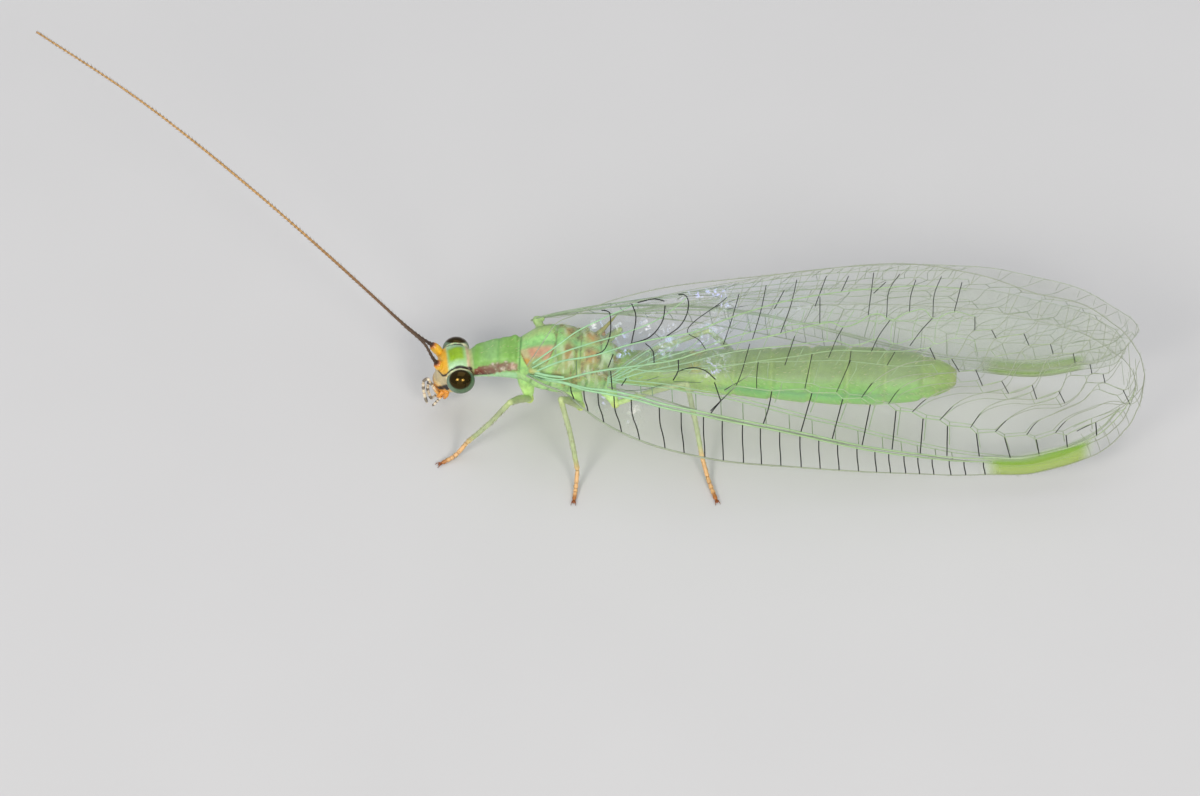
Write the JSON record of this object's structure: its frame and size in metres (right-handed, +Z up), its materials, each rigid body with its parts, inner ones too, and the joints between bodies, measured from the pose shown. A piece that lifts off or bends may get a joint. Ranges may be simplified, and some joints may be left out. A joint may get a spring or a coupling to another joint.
{
  "type": "green lacewing insect model",
  "caption": "Life-size green lacewing at rest: slender green body, golden eyes, long threadlike antennae, six legs and clear veined wings folded like a roof.",
  "frame": {"origin": "on the floor the insect stands on, under the middle of its bounding box", "axes": "+X towards the wing tips, so the head looks along -X; +Y towards its right side; +Z up"},
  "size_m": [0.0248, 0.0094, 0.0062],
  "materials": {
    "body": "satin",
    "head": "satin",
    "eye": "gloss",
    "mouthparts": "satin",
    "antenna": "matte",
    "leg": "satin",
    "foot": "satin",
    "wing_membrane": "gloss"
  },
  "bodies": {
    "root": {"abdomen": "body", "abdomen_tip": "body", "antenna_base_left": "antenna", "antenna_base_right": "antenna", "antenna_tip_left": "antenna", "antenna_tip_right": "antenna", "claws_fore_left": "foot", "claws_fore_right": "foot", "claws_hind_left": "foot", "claws_hind_right": "foot", "claws_mid_left": "foot", "claws_mid_right": "foot", "coxa_fore_left": "leg", "coxa_fore_right": "leg", "coxa_hind_left": "leg", "coxa_hind_right": "leg", "coxa_mid_left": "leg", "coxa_mid_right": "leg", "eye_left": "eye", "eye_right": "eye", "femur_fore_left": "leg", "femur_fore_right": "leg", "femur_hind_left": "leg", "femur_hind_right": "leg", "femur_mid_left": "leg", "femur_mid_right": "leg", "forewing_left": "wing_membrane", "forewing_right": "wing_membrane", "head": "head", "hindwing_left": "wing_membrane", "hindwing_right": "wing_membrane", "mesothorax": "body", "metathorax": "body", "mouthparts": "mouthparts", "palp_labial_left": "mouthparts", "palp_labial_right": "mouthparts", "palp_maxillary_left": "mouthparts", "palp_maxillary_right": "mouthparts", "prothorax": "body", "scape_left": "head", "scape_right": "head", "tarsus_fore_left": "foot", "tarsus_fore_right": "foot", "tarsus_hind_left": "foot", "tarsus_hind_right": "foot", "tarsus_mid_left": "foot", "tarsus_mid_right": "foot", "tibia_fore_left": "leg", "tibia_fore_right": "leg", "tibia_hind_left": "leg", "tibia_hind_right": "leg", "tibia_mid_left": "leg", "tibia_mid_right": "leg"}
  },
  "joints": []
}
